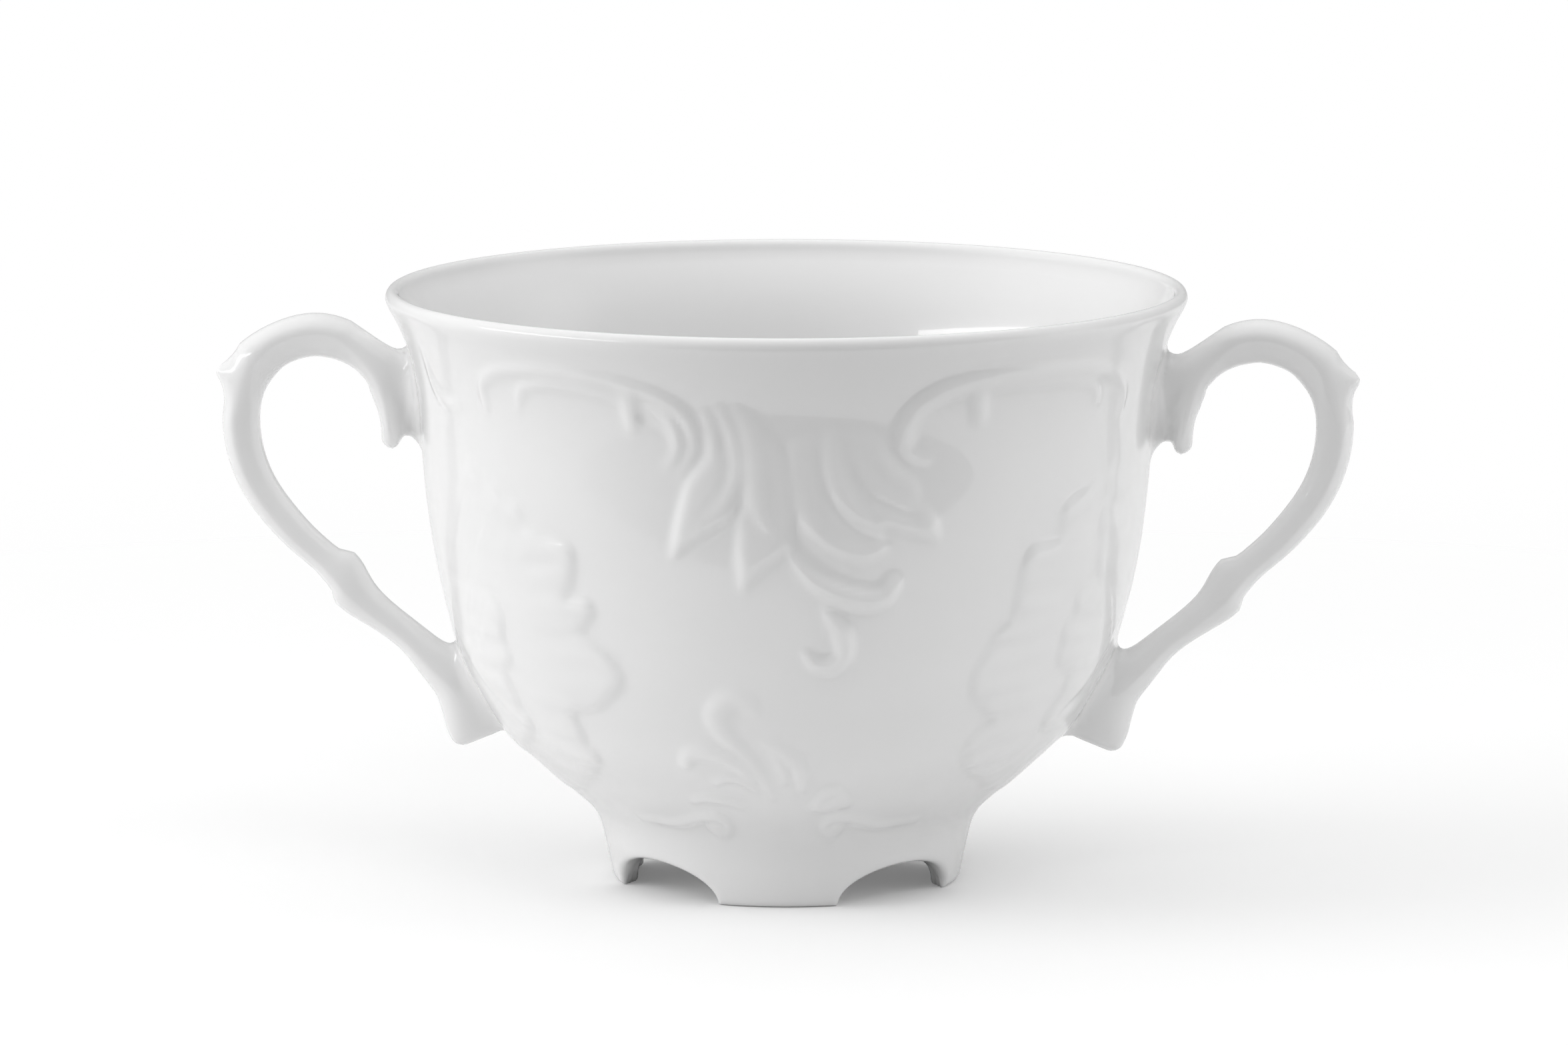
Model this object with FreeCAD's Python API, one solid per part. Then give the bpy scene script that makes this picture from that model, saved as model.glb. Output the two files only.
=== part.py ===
"""A footed, two-handled bouillon cup in white porcelain, made in one piece.

Millimetres. The origin is the centre of the foot on the ground, +Z is up and the two handles lie along X.
The front of the cup faces -Y, and the back carries the same ornament turned half round.
"""
import FreeCAD
import Part
import math
import os

V = FreeCAD.Vector
UP = V(0, 0, 1)

# the bowl
cup_height = 83.4
rim_radius = 56.0
wall_thickness = 2.9
lip_thickness = 2.0
rim_land = 0.25
floor_height = 10.6

# the foot: a short ring, pierced by arches that leave four feet between them
foot_radius = 24.2
foot_wall = 3.0
foot_hollow = 6.9
arch_width = 20.4
arch_height = 5.3
arch_edge_round = 0.9
toe_round = 0.5

# the handles
handle_reach = 28.3
handle_below_rim = 3.5
handle_tail_height = 17.8
handle_bar = 6.0
handle_depth = 6.2

# the raised ornament, and how closely it is carved
scroll_width = 3.6
scroll_height = 1.0
fine_width = 2.7
fine_height = 0.75
leaf_width = 6.2
leaf_height = 1.35
carving_columns = 216
carving_pitch = 1.25

# the outer curve of the bowl from foot to rim: share of the cup's height, share of the way from foot to rim radius
bowl_curve = [
    (0.000, 0.000), (0.050, 0.028), (0.100, 0.058), (0.140, 0.130), (0.180, 0.255), (0.220, 0.368),
    (0.265, 0.486), (0.325, 0.585), (0.390, 0.672), (0.460, 0.729), (0.580, 0.795), (0.700, 0.831),
    (0.820, 0.853), (0.890, 0.888), (0.938, 0.936), (0.984, 0.998),
]

# a handle's line from its upper root over the top, down the outside and back to the tail: share of the reach out
# from the bowl, share of the handle's height, then its bar seen from the front and from the side
handle_line = [
    (-0.046, 0.812, 2.17, 1.65), (0.055, 0.816, 2.10, 1.45), (0.150, 0.863, 1.28, 1.16), (0.276, 0.916, 1.03, 1.03),
    (0.446, 0.944, 1.07, 1.00), (0.574, 0.934, 1.05, 1.00), (0.684, 0.909, 1.00, 1.00), (0.798, 0.868, 0.93, 0.98),
    (0.870, 0.808, 0.90, 0.97), (0.896, 0.744, 0.88, 0.95), (0.881, 0.665, 0.93, 0.94), (0.830, 0.593, 0.93, 0.92),
    (0.748, 0.530, 0.90, 0.90), (0.651, 0.473, 0.83, 0.90), (0.557, 0.427, 0.86, 0.94), (0.481, 0.386, 1.26, 1.06),
    (0.447, 0.349, 1.10, 1.03), (0.348, 0.304, 0.84, 0.92), (0.232, 0.248, 0.83, 0.92), (0.162, 0.195, 1.07, 1.00),
    (0.108, 0.145, 1.31, 1.06), (0.135, 0.087, 1.38, 1.00), (0.223, 0.043, 1.07, 0.77), (0.333, 0.013, 0.48, 0.45),
    (0.381, 0.000, 0.14, 0.15),
]
# the pointed thumb rest outside the arch, and the rolled leaf end that curls down inside the upper root
spur_line = [(0.779, 0.820, 1.14, 0.90), (0.892, 0.842, 0.79, 0.68), (0.961, 0.858, 0.41, 0.39), (0.993, 0.866, 0.12, 0.13)]
curl_line = [
    (0.290, 0.916, 0.59, 0.81), (0.224, 0.878, 0.66, 1.03), (0.183, 0.828, 0.67, 1.26), (0.155, 0.778, 0.67, 1.35),
    (0.147, 0.739, 0.62, 1.35), (0.158, 0.712, 0.41, 1.16), (0.167, 0.694, 0.14, 0.65),
]

# the ornament on the front, as strokes through points: degrees round the bowl, per cent of its height
scrolls = [
    [(-47.8, 84.5), (-49.3, 89.2), (-43, 92.3), (-33, 93.9), (-20, 91.6), (-13, 88.7), (-10.3, 83.2), (-12.6, 77.2)],
    [(65.8, 79.9), (68.7, 84.9), (63.2, 90.6), (50.8, 93.5), (37, 92.8), (27, 90.6), (20.6, 86.3), (20.1, 82), (25, 78.9)],
    [(-21.5, 91.4), (-21.4, 86.8), (-21.5, 82.5)],
    [(32.6, 91.2), (32.7, 87.1), (32.8, 82.5)],
    [(2.6, 65.2), (7.1, 60), (12.6, 55.9), (18.1, 55.4), (20.6, 57.8), (19.2, 60.6)],
    [(8.3, 56.6), (12.2, 51.3), (13.4, 46.8), (9.4, 43.9), (5.4, 47.2)],
    [(-2.6, 37.3), (-6.4, 40.3), (-10.2, 36.7), (-7, 31.7), (-2.5, 27.8), (1.8, 20.6)],
    [(-17.6, 26.0), (-15.6, 30), (-9.3, 29.7), (-2.0, 24.8)],
    [(-1, 32.8), (3.5, 30.2), (6.6, 27.1), (7.8, 22.6)],
    [(-66.3, 92.0), (-66.8, 88.7), (-64, 83.7), (-56.4, 83.9)],
]
fine_scrolls = [
    [(-41, 86), (-38.8, 88.7), (-33, 90.6), (-25, 89.5), (-17.6, 87.3), (-13.9, 84.5), (-13.2, 81.1), (-15, 77.6)],
    [(-10.2, 88.3), (-7.8, 83), (-8.0, 79.0), (-11.8, 73.8)],
    [(-7.8, 90), (-4.9, 83.9), (-4.6, 78.5), (-7.4, 71.0)],
    [(57.6, 86.2), (55, 89), (46.2, 89.9), (37, 89.4), (28, 88.0), (23.6, 86.2), (22.8, 83.9), (24.4, 81.2)],
    [(-12.2, 22.7), (-8, 24.8), (-3.0, 22.4)],
    [(-20.2, 18.7), (-14, 20.7), (-5.8, 19.6)],
    [(8.2, 17.4), (11.5, 21.1), (16.6, 23.0)],
    [(1.2, 30.2), (3.2, 26.6), (3.9, 23.4)],
    [(-39, 14.6), (-30, 14.4), (-22, 14.7), (-15.6, 17.3), (-12.4, 15.3), (-15.2, 13.4), (-18.4, 15.3)],
    [(38.9, 14.9), (32.5, 14.1), (24, 13.9), (17.9, 16.5), (13.6, 15.8), (14.6, 13.7), (17.6, 14.9)],
]
leaves = [
    [(-5.6, 88.6), (-2.2, 82.1), (-1.2, 74.3), (0.8, 67.6), (4.2, 63.4)],
    [(-3.8, 81.0), (-7.4, 71.9), (-15.6, 61.6)],
    [(-2.6, 74.7), (-1.6, 65.9), (-4.4, 56.3)],
    [(6.4, 84.7), (6.6, 74.9), (9.4, 67.2), (17.2, 62.4)],
    [(11.6, 84.7), (12.4, 76.7), (16.8, 70.0), (28.4, 65.1)],
    [(17.4, 83.5), (18, 78.4), (20.4, 74.2), (25.6, 71.1)],
]
# the two shell-like ruffles beside the handles: ribs that fan out from each one's root to its wavy edge
ruffles = [
    [[(-60, 50), (-48, 60), (-38, 68.5)], [(-58, 47), (-44, 55), (-31, 62.6)], [(-57, 44), (-42, 48.5), (-28.6, 53)],
     [(-56, 40.5), (-40, 42.6), (-25, 43.6)], [(-57, 36), (-44, 35.6), (-30, 37)], [(-58, 32), (-48, 29), (-36, 28)],
     [(-61, 28), (-54, 24.6), (-44, 22)]],
    [[(66, 66), (58, 64), (49, 66.2)], [(64, 57), (52, 57.5), (42.4, 60)], [(62, 50), (50, 49), (39.6, 50.4)],
     [(60, 44), (48, 42), (35.6, 42.6)], [(60, 38), (51, 35), (40.6, 34.4)], [(62, 32), (53, 28.6), (39.4, 28)],
     [(65, 28), (57, 23.4), (45, 21.6)]],
]
ruffle_edges = [
    [(-43.4, 71), (-40.0, 66.2), (-32.2, 63.1), (-34, 56.4), (-28.8, 53.5), (-31, 48.6), (-25.4, 43.6), (-27.6, 38.8),
     (-37.6, 34.5), (-35.6, 27.4), (-44.7, 23.0), (-51, 20.0)],
    [(51.8, 68.8), (49.0, 65.3), (42.2, 60.7), (43.4, 54.8), (38.8, 49.5), (40, 46.4), (35.6, 41.7), (42.0, 34.9),
     (38.9, 28.4), (44.4, 22.4), (51, 20.2)],
]


def spline(points):
    curve = Part.BSplineCurve()
    curve.interpolate(points)
    return curve


outer_curve = spline([
    V(foot_radius + out * (rim_radius - foot_radius), 0, up * cup_height) for up, out in bowl_curve
])


def curve_parameter(height):
    """Where the outer curve reaches a height."""
    low = outer_curve.FirstParameter
    high = outer_curve.LastParameter
    for _ in range(40):
        middle = (low + high) / 2
        if outer_curve.value(middle).z < height:
            low = middle
        else:
            high = middle
    return low


def outside_rows():
    """Radius and height of the rows of the bowl's outside, from the ground up and half over the lip."""
    length = outer_curve.length()
    count = round(length / carving_pitch)
    rows = []
    for number in range(count + 1):
        point = outer_curve.value(outer_curve.parameterAtDistance(length * number / count))
        rows.append((point.x, point.z))
    rim_radius_here, rim_height = rows[-1]
    top_radius = rim_radius_here - (lip_thickness - rim_land) / 2
    for share in (0.3, 0.6, 0.85, 1.0):
        turn = share * math.pi / 2
        radius = top_radius + (rim_radius_here - top_radius) * math.cos(turn)
        rows.append((radius, rim_height + (cup_height - rim_height) * math.sin(turn)))
    return rows


class Carving:
    """How far the ornament stands out of the bowl, held on a net of rows and columns."""

    def __init__(self, rows):
        self.rows = rows
        self.along = [0.0]
        for before, after in zip(rows, rows[1:]):
            self.along.append(self.along[-1] + math.dist(before, after))
        self.out = [[0.0] * carving_columns for _ in rows]
        self.step = math.tau / carving_columns

    def place(self, degrees, share):
        """A point of the ornament as an angle and a distance along the bowl's curve."""
        height = share / 100 * cup_height
        for number in range(1, len(self.rows)):
            low = self.rows[number - 1][1]
            high = self.rows[number][1]
            if height <= high:
                part = (height - low) / (high - low)
                return math.radians(degrees), self.along[number - 1] + part * (self.along[number] - self.along[number - 1])
        return math.radians(degrees), self.along[-1]

    def raise_between(self, start, end):
        """Lifts the net along one short piece of a stroke; each end is an angle, a distance, a half width and a height."""
        reach = max(start[2], end[2])
        for row, (radius, _) in enumerate(self.rows):
            if not min(start[1], end[1]) - reach < self.along[row] < max(start[1], end[1]) + reach:
                continue
            first = math.floor((min(start[0], end[0]) - reach / radius) / self.step)
            last = math.ceil((max(start[0], end[0]) + reach / radius) / self.step)
            run = (end[0] - start[0]) * radius
            rise = end[1] - start[1]
            for column in range(first, last + 1):
                across = (column * self.step - start[0]) * radius
                up = self.along[row] - start[1]
                part = min(1, max(0, (across * run + up * rise) / (run * run + rise * rise)))
                half_width = start[2] + part * (end[2] - start[2])
                away = math.hypot(across - part * run, up - part * rise) / half_width
                if away < 1:
                    lift = (start[3] + part * (end[3] - start[3])) * (1 - away * away) ** 1.5
                    for turned in (column, column + carving_columns // 2):
                        turned %= carving_columns
                        self.out[row][turned] = max(self.out[row][turned], lift)

    def stroke(self, points, width, height):
        """A raised stroke through the points, slender and low at both ends."""
        middle = (foot_radius + rim_radius) / 2
        path = spline([V(angle * middle, along, 0) for angle, along in (self.place(*point) for point in points)])
        pieces = max(4, round(path.length()))
        ends = []
        for number in range(pieces + 1):
            share = number / pieces
            point = path.value(path.parameterAtDistance(path.length() * share))
            swell = math.sin(math.pi * (0.05 + 0.9 * share)) ** 0.6
            ends.append((point.x / middle, point.y, width / 2 * (0.35 + 0.65 * swell), height * swell))
        for start, end in zip(ends, ends[1:]):
            self.raise_between(start, end)


def solid_inside(surface):
    """The solid that a tube-like surface holds once both its ends are closed flat."""
    skin = surface.toShape()
    ends = [Part.Face(Part.Wire(edge)) for edge in skin.Edges if edge.isClosed()]
    shell = Part.Shell([skin] + ends)
    shell.sewShape()
    block = Part.Solid(shell)
    if block.Volume < 0:
        block.reverse()
    return block


def make_outside():
    """The carved outside of the cup as a full block: one surface, closed flat at the ground and at the rim."""
    rows = outside_rows()
    carving = Carving(rows)
    for points in scrolls:
        carving.stroke(points, scroll_width, scroll_height)
    for points in fine_scrolls:
        carving.stroke(points, fine_width, fine_height)
    for points in leaves:
        carving.stroke(points, leaf_width, leaf_height)
    for ribs in ruffles:
        for points in ribs:
            carving.stroke(points, leaf_width, fine_height)
    for points in ruffle_edges:
        carving.stroke(points, scroll_width, scroll_height)
    net = []
    for column in range(carving_columns):
        turn = column * carving.step
        line = []
        for number, (radius, height) in enumerate(rows):
            before = rows[max(number - 1, 0)]
            after = rows[min(number + 1, len(rows) - 1)]
            length = math.dist(before, after)
            lift = carving.out[number][column]
            out = radius + lift * (after[1] - before[1]) / length
            line.append(V(out * math.sin(turn), -out * math.cos(turn), height - lift * (after[0] - before[0]) / length))
        net.append(line)
    surface = Part.BSplineSurface()
    count = len(rows)
    surface.buildFromPolesMultsKnots(
        net, [1] * (carving_columns + 1), [4] + [1] * (count - 4) + [4],
        list(range(carving_columns + 1)), list(range(count - 2)), True, False, 3, 3,
    )
    return solid_inside(surface)


def make_inside():
    """The space inside the bowl, with the inner half of the lip, turned from one outline."""
    rim = outer_curve.value(outer_curve.LastParameter)
    land_radius = rim.x - (lip_thickness + rim_land) / 2
    lip_inside = V(rim.x - lip_thickness, 0, rim.z)
    bend = V(lip_inside.x + 0.26 * (land_radius - lip_inside.x), 0, rim.z + 0.66 * (cup_height - rim.z))
    points = [lip_inside]
    for share in (0.93, 0.86, 0.76, 0.64, 0.52, 0.42, 0.34, 0.27, 0.21, 0.165):
        parameter = curve_parameter(share * cup_height)
        slope = outer_curve.tangent(parameter)[0]
        points.append(outer_curve.value(parameter) + V(-slope.z, 0, slope.x) * wall_thickness)
    low = points[-1]
    points.append(V(low.x * 0.62, 0, floor_height + (low.z - floor_height) * 0.16))
    points.append(V(0, 0, floor_height))
    wall = Part.BSplineCurve()
    wall.interpolate(Points=points, InitialTangent=V(-0.3, 0, -1), FinalTangent=V(-1, 0, 0), Scale=False)
    above = cup_height + lip_thickness
    edges = [
        Part.Arc(V(land_radius, 0, cup_height), bend, lip_inside).toShape(),
        wall.toShape(),
        Part.makeLine(V(0, 0, floor_height), V(0, 0, above)),
        Part.makeLine(V(0, 0, above), V(land_radius, 0, above)),
        Part.makeLine(V(land_radius, 0, above), V(land_radius, 0, cup_height)),
    ]
    return Part.Face(Part.Wire(edges)).revolve(V(0, 0, 0), UP, 360)


def make_arch(degrees):
    """The tunnel that a pair of opposite arches shares, right across the foot."""
    turn = math.radians(degrees)
    along = V(math.sin(turn), -math.cos(turn), 0)
    across = along.cross(UP)
    reach = foot_radius + foot_wall * 2
    middle = along * -reach
    curve = Part.Ellipse(middle + across * (arch_width / 2), middle + UP * arch_height, middle)
    return Part.Face(Part.Wire(curve.toShape())).extrude(along * (2 * reach))


def rounded_foot(cup):
    """Softens first the arches' edges and then the feet's undersides, as the glaze does."""
    arch_edges = [edge for edge in cup.Edges if abs(edge.BoundBox.ZMax - arch_height) < 0.02 * arch_height]
    cup = cup.makeFillet(arch_edge_round, arch_edges)
    toe_edges = [edge for edge in cup.Edges if edge.BoundBox.ZMax < 0.05 * toe_round]
    return cup.makeFillet(toe_round, toe_edges)


def handle_point(out, up):
    """A point of a handle, measured from the bowl's own surface at that height."""
    top = cup_height - handle_below_rim
    height = handle_tail_height + up * (top - handle_tail_height)
    return V(outer_curve.value(curve_parameter(height)).x + out * handle_reach, 0, height)


def make_limb(line):
    """One limb of a handle: a smooth tube through the ovals that stand along its line."""
    corners = 8
    spread = 3 / (2 + math.cos(math.tau / corners))
    centres = [handle_point(out, up) for out, up, _, _ in line]
    steps = [0.0]
    for before, after in zip(centres, centres[1:]):
        steps.append(steps[-1] + (after - before).Length)
    rails = [[] for _ in range(corners)]
    for number, (_, _, width, depth) in enumerate(line):
        before = centres[max(number - 1, 0)]
        after = centres[min(number + 1, len(centres) - 1)]
        outward = V(0, 1, 0).cross(after - before).normalize() * (width * handle_bar / 2 * spread)
        sideways = V(0, depth * handle_depth / 2 * spread, 0)
        for corner, rail in enumerate(rails):
            turn = math.tau * corner / corners
            rail.append(centres[number] + outward * math.cos(turn) + sideways * math.sin(turn))
    net = []
    for rail in rails:
        curve = Part.BSplineCurve()
        curve.interpolate(Points=rail, Parameters=steps)
        net.append(curve.getPoles())
    surface = Part.BSplineSurface()
    surface.buildFromPolesMultsKnots(
        net, [1] * (corners + 1), curve.getMultiplicities(),
        list(range(corners + 1)), curve.getKnots(), True, False, 3, 3,
    )
    return solid_inside(surface)


def make_cup():
    handle = make_limb(handle_line).fuse([make_limb(curl_line), make_limb(spur_line)])
    other_handle = handle.copy()
    other_handle.rotate(V(0, 0, 0), UP, 180)
    cup = make_outside().fuse([handle, other_handle])
    hollow = Part.makeCylinder(foot_radius - foot_wall, foot_hollow + foot_wall, V(0, 0, -foot_wall))
    cup = cup.cut([make_inside(), hollow, make_arch(45), make_arch(135)])
    return rounded_foot(cup)


cup = make_cup()
os.makedirs("parts", exist_ok=True)
cup.exportStep("parts/cup.step")
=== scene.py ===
import bpy
import math
import numpy as np
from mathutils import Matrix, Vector


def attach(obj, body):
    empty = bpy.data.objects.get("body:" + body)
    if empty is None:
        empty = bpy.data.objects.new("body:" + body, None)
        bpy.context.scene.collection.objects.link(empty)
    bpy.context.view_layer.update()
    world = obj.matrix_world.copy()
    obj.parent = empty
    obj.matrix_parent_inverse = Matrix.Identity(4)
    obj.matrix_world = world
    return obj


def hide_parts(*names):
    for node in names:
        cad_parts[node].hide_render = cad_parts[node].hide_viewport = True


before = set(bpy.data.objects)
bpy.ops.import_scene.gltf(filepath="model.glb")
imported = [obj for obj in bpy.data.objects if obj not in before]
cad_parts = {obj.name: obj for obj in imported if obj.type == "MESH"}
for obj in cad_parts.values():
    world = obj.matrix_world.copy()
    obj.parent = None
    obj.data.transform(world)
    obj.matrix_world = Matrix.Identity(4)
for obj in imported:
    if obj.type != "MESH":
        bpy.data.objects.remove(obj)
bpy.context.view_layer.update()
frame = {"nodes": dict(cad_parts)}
print("frame loaded:", ", ".join(frame["nodes"]))

mm = 0.001


def splineThrough(knots, values, at):
    # natural cubic spline through the values
    knots = np.asarray(knots, float)
    values = np.asarray(values, float)
    gaps = np.diff(knots)
    count = len(knots)
    system = np.eye(count)
    right = np.zeros_like(values)
    for i in range(1, count - 1):
        system[i, i - 1:i + 2] = gaps[i - 1], 2 * (gaps[i - 1] + gaps[i]), gaps[i]
        right[i] = 6 * ((values[i + 1] - values[i]) / gaps[i] - (values[i] - values[i - 1]) / gaps[i - 1])
    bend = np.linalg.solve(system, right)
    i = np.clip(np.searchsorted(knots, at, side="right") - 1, 0, count - 2)
    shape = (-1,) + (1,) * (values.ndim - 1)
    gap = gaps[i].reshape(shape)
    before = (np.asarray(at) - knots[i]).reshape(shape)
    after = gap - before
    curved = (bend[i] * after ** 3 + bend[i + 1] * before ** 3) / (6 * gap)
    fromKnot = (values[i] / gap - bend[i] * gap / 6) * after
    toNext = (values[i + 1] / gap - bend[i + 1] * gap / 6) * before
    return curved + fromKnot + toNext


def smoothLine(points, spacing):
    # evenly spaced points on a smooth line; the first two values are its place, further values ride along
    points = np.asarray(points, float)
    knots = np.concatenate([[0], np.cumsum(np.linalg.norm(np.diff(points[:, :2], axis=0), axis=1))])
    fine = splineThrough(knots, points, np.linspace(0, knots[-1], 40 * len(points)))
    length = np.concatenate([[0], np.cumsum(np.linalg.norm(np.diff(fine[:, :2], axis=0), axis=1))])
    even = np.linspace(0, length[-1], max(3, round(length[-1] / spacing) + 1))
    return np.stack([np.interp(even, length, fine[:, k]) for k in range(points.shape[1])], 1)


# bowl and foot, in millimetres
bowl = {
    "height": 83.4,
    "outside": [  # radius, height
        (24.2, 0), (24.65, 2), (25.05, 4), (25.5, 6), (26.0, 8), (26.95, 10), (28.8, 12), (32.3, 15),
        (35.6, 18), (39.6, 22), (42.8, 27), (45.4, 32), (47.3, 38), (48.9, 45), (50.0, 52), (50.8, 60),
        (51.3, 68), (52.4, 74), (53.85, 78), (54.85, 80), (55.6, 81.4), (55.84, 82.1),
    ],
    "inside": [  # radius, height
        (53.94, 82.07), (53.2, 81.0), (51.0, 77.3), (49.15, 71.9), (48.1, 63.6), (47.2, 53.7), (45.75, 44),
        (43.6, 35.9), (40.9, 29.9), (37.5, 24.3), (32.6, 19.3), (28.0, 15.9), (18.0, 12.2), (8.0, 10.8),
        (0.0, 10.6),
    ],
    "frontColumns": 288,  # over the front half
    "backColumns": 180,
    "rowPitch": 0.66,  # between the rows outside
    "insidePitch": 2.0,  # between the rows inside
}
foot = {
    "innerRadius": 21.2,
    "outerRadius": 24.4,
    "hollow": 6.9,  # height of the underside inside the foot
    "cornerRound": 1.2,  # where the foot's inside meets the underside
    "archHalfWidth": 10.2,
    "archHeight": 5.3,
    "edgeRound": 0.85,
    "rows": 12,
    "blendHeight": 9.0,  # above this the rows are level again
}

outsideLine = smoothLine(bowl["outside"], 0.1)
outsideAlong = np.concatenate([[0], np.cumsum(np.linalg.norm(np.diff(outsideLine, axis=0), axis=1))])


def radiusAt(z):
    return np.interp(z, outsideLine[:, 1], outsideLine[:, 0])


def slopeAt(z):
    # how fast the outside widens with height
    return (radiusAt(np.asarray(z) + 0.25) - radiusAt(np.asarray(z) - 0.25)) / 0.5


# raised ornament: a map of heights over the front half, repeated on the back
carving = {
    "degreeStep": 0.2,
    "pitch": 0.2,
    "softness": 0.36,  # how far the glaze blurs an edge
    "meanRadius": 48,  # of the bowl, for the blur round it
    "strength": 1.25,  # of the scrolls and sprays
    "highest": 1.6,
    "top": 82.0,  # the ornament fades out below this height and above the bottom one
    "bottom": 7.0,
    "fade": 3.0,
}
mapAngles = np.radians(np.arange(-90, 90, carving["degreeStep"]))
mapAlong = np.arange(0, outsideAlong[-1], carving["pitch"])
mapRadii = np.interp(mapAlong, outsideAlong, outsideLine[:, 0])
relief = np.zeros((len(mapAlong), len(mapAngles)))


def mapLine(points, spacing=0.7):
    # points in degrees and mm of height become angle and distance along the bowl; further values ride along
    points = np.asarray([tuple(p) for p in points], float)
    radius = radiusAt(points[:, 1]).mean()
    flat = points.copy()
    flat[:, 0] = np.radians(points[:, 0]) * radius
    flat[:, 1] = np.interp(points[:, 1], outsideLine[:, 1], outsideAlong)
    line = smoothLine(flat, spacing)
    line[:, 0] /= radius
    return line


def trace(line, reach):
    # for each cell near a line: its distance, share of the length and side (1 is left of the direction)
    near = np.full(relief.shape, np.inf)
    share = np.zeros(relief.shape)
    side = np.zeros(relief.shape)
    step = math.radians(carving["degreeStep"])
    for number in range(len(line) - 1):
        a, b = line[number], line[number + 1]
        lowRow = max(0, int((min(a[1], b[1]) - reach) / carving["pitch"]))
        highRow = min(len(mapAlong), int((max(a[1], b[1]) + reach) / carving["pitch"]) + 2)
        if lowRow >= highRow:
            continue
        radius = mapRadii[lowRow:highRow, None]
        wide = reach / radius.min()
        lowColumn = max(0, int((min(a[0], b[0]) - wide - mapAngles[0]) / step))
        highColumn = min(len(mapAngles), int((max(a[0], b[0]) + wide - mapAngles[0]) / step) + 2)
        if lowColumn >= highColumn:
            continue
        window = slice(lowRow, highRow), slice(lowColumn, highColumn)
        x = (mapAngles[None, lowColumn:highColumn] - a[0]) * radius
        y = mapAlong[lowRow:highRow, None] - a[1]
        run = (b[0] - a[0]) * radius
        rise = b[1] - a[1]
        part = np.clip((x * run + y * rise) / (run ** 2 + rise ** 2), 0, 1)
        away = np.hypot(x - part * run, y - part * rise)
        closer = away < near[window]
        near[window] = np.where(closer, away, near[window])
        share[window] = np.where(closer, (number + part) / (len(line) - 1), share[window])
        side[window] = np.where(closer, np.sign(run * y - rise * x), side[window])
    return near, share, side


def along(values, share):
    values = np.atleast_1d(values).astype(float)
    return np.interp(share, np.linspace(0, 1, len(values)), values)


def raiseTo(height, blend=0.15):
    # the higher of the two surfaces, with a soft crease between them
    global relief
    gap = np.clip(0.5 + (height - relief) / (2 * blend), 0, 1)
    mixed = relief + (height - relief) * gap + blend * gap * (1 - gap)
    relief = np.where(height > 0, mixed, relief)


def band(points, width, height, crown=2.4):
    # a rounded raised stroke; width and height are lists of values along it
    line = mapLine(points)
    near, share, _ = trace(line, np.max(width) / 2 + 0.5)
    q = near / (along(width, share) / 2)
    raiseTo(np.where(q < 1, along(height, share) * (1 - np.clip(q, 0, 1) ** crown), 0))


def groove(points, width, depth):
    # a soft valley cut into what is there
    global relief
    line = mapLine(points)
    near, share, _ = trace(line, np.max(width) / 2 + 0.5)
    q = near / (along(width, share) / 2)
    relief = relief - np.where(q < 1, along(depth, share) * (1 - np.clip(q, 0, 1) ** 2) ** 2, 0)


def insideOf(line):
    # which cells lie inside a closed outline, by counting crossings
    inside = np.zeros(relief.shape, bool)
    angle = mapAngles[None, :]
    distance = mapAlong[:, None]
    for a, b in zip(line, np.roll(line, -1, axis=0)):
        if a[1] == b[1]:
            continue
        crosses = (a[1] > distance) != (b[1] > distance)
        inside ^= crosses & (angle < a[0] + (distance - a[1]) / (b[1] - a[1]) * (b[0] - a[0]))
    return inside


def patch(outline, height, edge, tilt=None):
    # a raised area that rises over edge mm from its outline;
    # tilt is the degrees and height of its sunken end, how low it lies there and how far that reaches
    line = np.concatenate([mapLine(run, 0.5)[:-1] for run in outline])
    near, _, _ = trace(np.vstack([line, line[:1]]), edge + 0.5)
    inside = insideOf(line)
    rise = np.clip(near / edge, 0, 1)
    body = height * np.sqrt(np.clip(1 - (1 - rise) ** 2, 0, 1))
    if tilt:
        degrees, level, low, reach = tilt
        angle = math.radians(degrees)
        start = np.interp(level, outsideLine[:, 1], outsideAlong)
        away = np.hypot((mapAngles[None, :] - angle) * mapRadii[:, None], mapAlong[:, None] - start)
        body = body * (low + (1 - low) * np.clip(away / reach, 0, 1))
    raiseTo(np.where(inside, body, 0), 0.1)


# the big C scrolls under the rim
band([(-49.0, 71.0), (-49.4, 73.6), (-47.4, 75.4), (-42.6, 76.8), (-36, 77.4), (-30, 77.3), (-24, 76.6),
    (-18, 75.3), (-14, 73.6), (-11.8, 71.4), (-11.0, 68.8), (-11.8, 66.2), (-13.4, 64.2)],
    [1.8, 2.4, 2.5, 2.5, 2.4, 2.2, 1.4], [0.25, 0.4, 0.45, 0.48, 0.42, 0.34, 0.15])
band([(-41.4, 71.6), (-40.6, 73.8), (-36.8, 75.3), (-31, 75.5), (-25.5, 74.8), (-21, 73.8)],
    [1.5, 2.2, 2.2, 1.6], [0.2, 0.38, 0.38, 0.3])
band([(-18.4, 73.6), (-15.8, 72.6), (-14.3, 71), (-13.5, 68.8), (-13.9, 66.8), (-15.2, 65.2)],
    [1.4, 2.1, 2.1, 2.0, 1.4], [0.15, 0.3, 0.34, 0.3, 0.15])
band([(-9.2, 72.8), (-8.0, 69.8), (-8.0, 66.6), (-9.2, 64), (-12.0, 61.8)], [1.6, 2.6, 2.6, 1.8],
    [0.15, 0.36, 0.36, 0.2])
band([(-20.9, 75.2), (-20.8, 72.6), (-20.6, 70.8)], [3.4, 3.1, 2.8], [0.35, 0.45, 0.4])
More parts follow.
